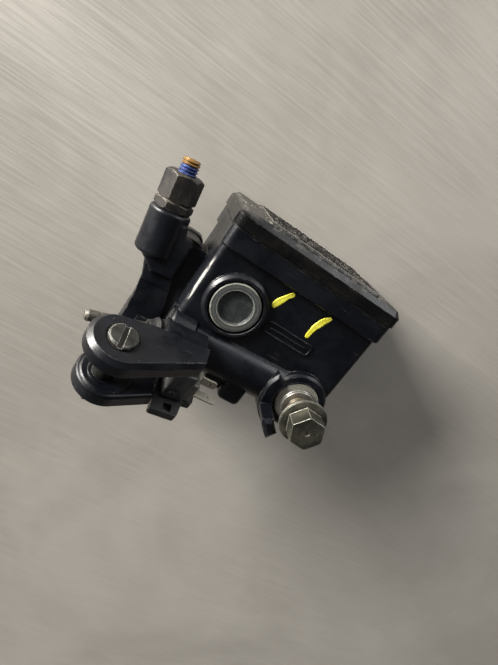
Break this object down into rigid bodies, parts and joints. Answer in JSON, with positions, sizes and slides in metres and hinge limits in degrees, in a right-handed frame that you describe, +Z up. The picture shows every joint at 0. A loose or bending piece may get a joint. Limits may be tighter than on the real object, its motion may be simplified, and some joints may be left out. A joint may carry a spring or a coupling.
{
  "type": "motorcycle brake master cylinder",
  "caption": "Front brake master cylinder with an integral rectangular reservoir, lever ears, handlebar clamp, mirror adapter and brake light switch.",
  "frame": {"origin": "centre of the handlebar clamp, on the handlebar's axis", "axes": "+X along the handlebar from the lever end to the hose end, +Y from the lever side to the clamp holder side, +Z up, square to the reservoir lid"},
  "size_m": [0.1103, 0.0847, 0.091],
  "materials": {
    "cast_black": "satin black paint over cast aluminium, worn lighter at the edges",
    "lid_black": "black paint, rough textured panel on top",
    "lens_grey": "cloudy translucent plastic",
    "seal_rubber": "matt black",
    "zinc_olive": "worn zinc plate, grey-olive",
    "washer_metal": "bare",
    "screw_dark": "dark plated, bright at the rim",
    "adapter_black": "black oxide with brown patches",
    "stud_gold": "yellow zinc, blue thread compound at the root",
    "steel_plain": "plain",
    "steel_tan": "dull, dusty",
    "piston_alu": "anodised",
    "switch_grey": "light grey",
    "switch_black": "dark grey",
    "terminal_brass": "tinned"
  },
  "bodies": {
    "housing": {"master_cylinder_body": "cast_black", "reservoir_lid": "lid_black", "lid_screws": "screw_dark", "lid_set_plate": "switch_black", "diaphragm": "seal_rubber", "sight_glass_lens": "lens_grey", "sight_glass_seal": "seal_rubber", "reservoir_baffle": "steel_plain", "clamp_holder": "cast_black", "clamp_bolts": "screw_dark", "mirror_adapter": "adapter_black", "mirror_stud": "stud_gold", "pivot_screw": "screw_dark", "pivot_locknut": "zinc_olive", "banjo_bolt": "zinc_olive", "sealing_washer_inner": "washer_metal", "sealing_washer_outer": "washer_metal", "circlip": "steel_plain", "stop_washer": "steel_plain", "return_spring": "steel_plain", "dust_boot": "seal_rubber", "switch_housing": "switch_grey", "switch_base": "switch_black", "switch_carrier": "switch_black", "switch_screw": "screw_dark", "switch_terminals": "terminal_brass", "switch_spring": "steel_plain"},
    "piston_set": {"piston": "piston_alu", "primary_cup": "seal_rubber", "secondary_cup": "seal_rubber"},
    "rod": {"push_rod": "steel_tan"},
    "plunger": {"switch_plunger": "switch_black"}
  },
  "joints": [
    {"name": "piston_slide", "type": "slide", "parent": "housing", "child": "piston_set", "axis": [0.9986, 0, 0.0523], "range_m": [0, 0.01], "stiffness_N_per_m": 1500, "springref_m": -0.012, "deforming": ["return_spring"]},
    {"name": "rod_swing", "type": "hinge", "parent": "piston_set", "child": "rod", "pos_m": [0.01719, -0.023, -0.00643], "axis": [0.049, 0.3502, -0.9354], "range_deg": [0, 19.5], "deforming": ["dust_boot"]},
    {"name": "plunger_slide", "type": "slide", "parent": "housing", "child": "plunger", "axis": [0.9864, 0.1304, 0.1005], "range_m": [0, 0.0025], "stiffness_N_per_m": 400, "springref_m": -0.002, "deforming": ["switch_spring"]}
  ],
  "couplings": [
    {"joint": "rod_swing", "follows": "piston_slide", "rad_per_m": 33.9}
  ]
}
